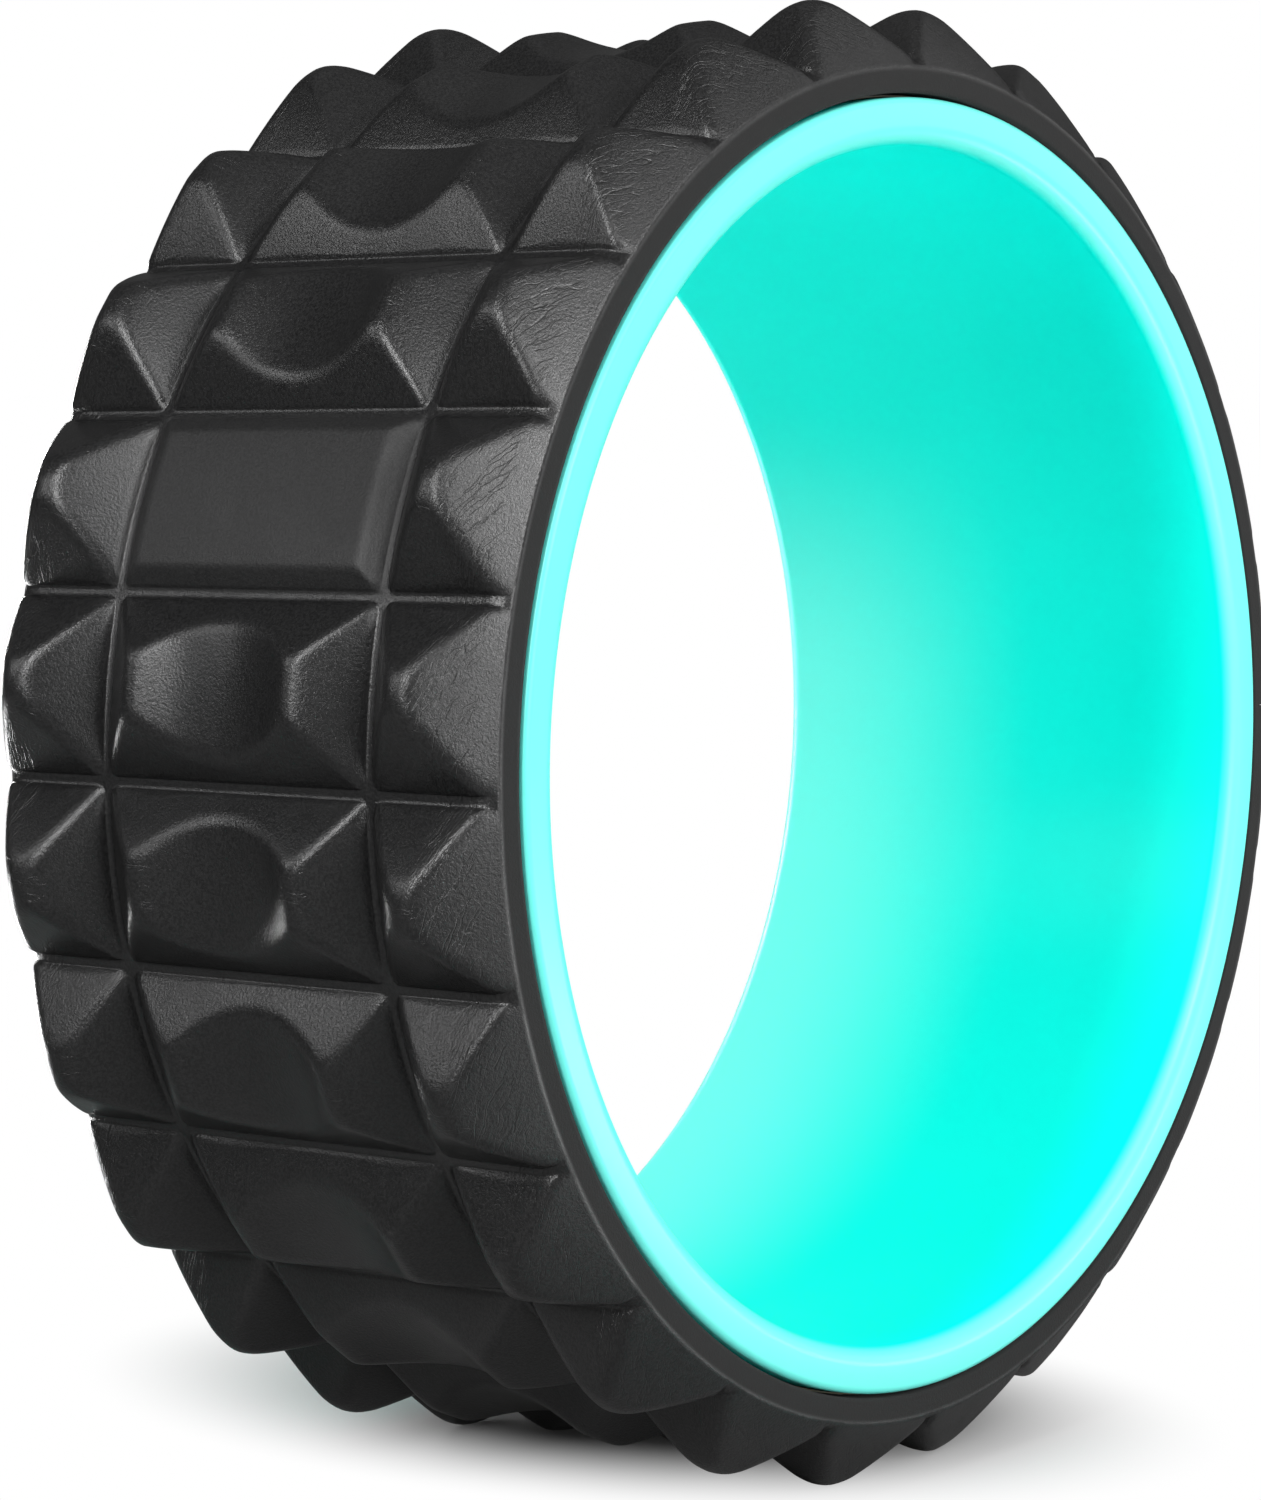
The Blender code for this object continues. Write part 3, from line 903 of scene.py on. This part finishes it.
studio = {
    "floorLevel": -0.1556,
    "floorSize": 12.0,
    "floorShade": 0.25,
    # the shade keys shape a painted shadow oval on the floor
    "shadeCentre": (0.029, 0.041, 0.0),
    "shadeHalf": (0.100, 0.151, 1000.0),
    "shadeFull": 0.415,
    "shadeDepth": 0.78,
    "contactReach": 0.20,
    "contactPower": 1.5,
    "contactSamples": 16,
    # the darker floor that only bounce and reflections see is a painted shade
    "paintedFloorShade": 0.25,
    "floorPale": 0.95,
    "paleAhead": (0.06, 0.22),
    "paleBeside": (0.10, 0.25),
    "widensFrom": 0.25,
    "widening": 0.5,
    "leftFrom": (0.06, 0.12),
    "leftTo": (0.22, 0.32),
    "leftBack": (0.05, 0.10),
    "leftFront": (-0.03, 0.03),
    "leftShare": 0.25,
    "leftFrontShare": 0.1,
    "ambient": 0.09,
    "camera": (-0.78102516, -0.58783217, 0.07535188),
    "turn": (85.43785961, 0.82023048, -52.34716402),
    "lens": 107.77,
}


def makeFloor():
    size = studio["floorSize"] / 2
    level = studio["floorLevel"]
    mesh = bpy.data.meshes.new("studioFloor")
    corners = [(-size, -size, level), (size, -size, level), (size, size, level), (-size, size, level)]
    mesh.from_pydata(corners, [], [(0, 1, 2, 3)])
    made = bpy.data.objects.new("studioFloor", mesh)
    scene.collection.objects.link(made)
    material = bpy.data.materials.new("paleFloor")
    material.use_nodes = True
    tree = material.node_tree
    tree.nodes.clear()
    place = addNode(tree, "ShaderNodeTexCoord").outputs["Object"]
    # a painted shadow lies in an oval under and beside the wheel, and white floor is round it
    middle = addNode(tree, "ShaderNodeVectorMath", {1: studio["shadeCentre"]}, operation="SUBTRACT")
    tree.links.new(place, middle.inputs[0])
    oval = addNode(tree, "ShaderNodeVectorMath", {1: studio["shadeHalf"]}, operation="DIVIDE")
    wire(tree, middle, oval)
    reach = wire(tree, oval, addNode(tree, "ShaderNodeVectorMath", operation="LENGTH"))
    near = rangeNode(tree, reach.outputs["Value"], studio["shadeFull"], 1.0, 1.0, 0.0)
    rays = addNode(tree, "ShaderNodeLightPath").outputs
    seen = rays["Is Camera Ray"]
    # the wheel is lit by pale floor at the two ends of its bore and by darker floor elsewhere, painted
    # light and painted shade on a floor that only bounce and reflections see; the foam and the ring don't
    # mirror the pale floor behind
    apart = addNode(tree, "ShaderNodeSeparateXYZ")
    tree.links.new(place, apart.inputs[0])
    beside = mathNode(tree, "ABSOLUTE", apart.outputs["X"])
    ahead = mathNode(tree, "MULTIPLY", apart.outputs["Y"], -1.0)
    # the pale part is wider further in front
    further = mathNode(tree, "MAXIMUM", mathNode(tree, "SUBTRACT", ahead, studio["widensFrom"]), 0.0)
    beside = mathNode(tree, "SUBTRACT", beside, mathNode(tree, "MULTIPLY", further, studio["widening"]))
    unmirrored = mathNode(tree, "SUBTRACT", 1.0, rays["Is Glossy Ray"])
    behind = rangeNode(tree, apart.outputs["Y"], *studio["paleAhead"])
    behind = mathNode(tree, "MULTIPLY", behind, unmirrored)
    pale = mathNode(tree, "ADD", rangeNode(tree, ahead, *studio["paleAhead"]), behind)
    pale = mathNode(tree, "MULTIPLY", pale, rangeNode(tree, beside, *studio["paleBeside"], 1.0, 0.0))
    # a weaker pale patch of painted light lies at the left, and fades towards the front and the back
    toLeft = mathNode(tree, "MULTIPLY", apart.outputs["X"], -1.0)
    left = mathNode(tree, "MULTIPLY", rangeNode(tree, toLeft, *studio["leftFrom"]),
                    rangeNode(tree, toLeft, *studio["leftTo"], 1.0, 0.0))
    backFade = rangeNode(tree, apart.outputs["Y"], *studio["leftBack"], studio["leftShare"], 0.0)
    frontFade = rangeNode(tree, apart.outputs["Y"], *studio["leftFront"], studio["leftFrontShare"], 1.0)
    left = mathNode(tree, "MULTIPLY", mathNode(tree, "MULTIPLY", left, backFade), frontFade)
    pale = mathNode(tree, "MAXIMUM", pale, left)
    bounce = rangeNode(tree, pale, 0.0, 1.0, studio["paintedFloorShade"], studio["floorPale"])
    shade = mathNode(tree, "MULTIPLY", near, studio["floorShade"])
    hidden = mathNode(tree, "SUBTRACT", 1.0, seen)
    shade = mathNode(tree, "ADD", mathNode(tree, "MULTIPLY", shade, seen),
                     mathNode(tree, "MULTIPLY", hidden, bounce))
    diffuse = addNode(tree, "ShaderNodeBsdfDiffuse")
    tree.links.new(shade, diffuse.inputs["Color"])
    glow = addNode(tree, "ShaderNodeEmission", {"Color": (1.0, 1.0, 1.0, 1.0)})
    # a soft painted contact shadow under the tread, from ambient occlusion
    contact = addNode(tree, "ShaderNodeAmbientOcclusion", {"Distance": studio["contactReach"]},
                      samples=studio["contactSamples"])
    clear = mathNode(tree, "POWER", contact.outputs["AO"], studio["contactPower"])
    # the painted shadow's darkness is the oval's, and deeper where the wheel covers the floor
    depth = mathNode(tree, "MULTIPLY_ADD", clear, studio["shadeDepth"] - 1.0, 1.0)
    lift = mathNode(tree, "SUBTRACT", 1.0, mathNode(tree, "MULTIPLY", near, depth))
    shade = mathNode(tree, "MULTIPLY", shade, mathNode(tree, "MAXIMUM", clear, hidden))
    tree.links.new(mathNode(tree, "MULTIPLY", seen, lift), glow.inputs["Strength"])
    both = addNode(tree, "ShaderNodeAddShader")
    wire(tree, diffuse, both, 0)
    wire(tree, glow, both, 1)
    wire(tree, both, addNode(tree, "ShaderNodeOutputMaterial"), "Surface")
    mesh.materials.append(material)


def makeWorld():
    world = bpy.data.worlds.new("paleStudio")
    world.use_nodes = True
    tree = world.node_tree
    tree.nodes.clear()
    rays = addNode(tree, "ShaderNodeLightPath").outputs
    ambient = addNode(tree, "ShaderNodeBackground", {"Strength": studio["ambient"]})
    white = addNode(tree, "ShaderNodeBackground", {"Strength": 1.0})
    for each in (ambient, white):
        each.inputs["Color"].default_value = (1.0, 1.0, 1.0, 1.0)
    pick = addNode(tree, "ShaderNodeMixShader")
    tree.links.new(rays["Is Camera Ray"], pick.inputs[0])
    wire(tree, ambient, pick, 1)
    wire(tree, white, pick, 2)
    wire(tree, pick, addNode(tree, "ShaderNodeOutputWorld"), "Surface")
    scene.world = world


def addLamp(name, azimuth, elevation, distance, width, height, watts, spread):
    # azimuth 0 is in front of the near rim and turns towards +X
    turn = math.radians(azimuth)
    rise = math.radians(elevation)
    back = Vector((math.sin(turn) * math.cos(rise), -math.cos(turn) * math.cos(rise), math.sin(rise)))
    lamp = bpy.data.lights.new(name, "AREA")
    lamp.shape = "RECTANGLE"
    lamp.size = width
    lamp.size_y = height
    lamp.energy = watts
    lamp.spread = math.radians(spread)
    made = bpy.data.objects.new(name, lamp)
    made.location = back * distance
    made.rotation_mode = "QUATERNION"
    made.rotation_quaternion = back.to_track_quat("Z", "Y")
    made.visible_camera = False
    scene.collection.objects.link(made)


def makeCamera():
    lens = bpy.data.cameras.new("photoCamera")
    lens.lens = studio["lens"]
    lens.sensor_width = 36.0
    lens.sensor_fit = "AUTO"
    lens.clip_start = 0.01
    lens.clip_end = 50.0
    made = bpy.data.objects.new("photoCamera", lens)
    made.location = studio["camera"]
    made.rotation_euler = Euler([math.radians(angle) for angle in studio["turn"]])
    scene.collection.objects.link(made)
    scene.camera = made


makeFloor()
makeWorld()
for lampSettings in lamps:
    addLamp(*lampSettings)
makeCamera()
scene.view_settings.view_transform = "Standard"
print("studio ready")
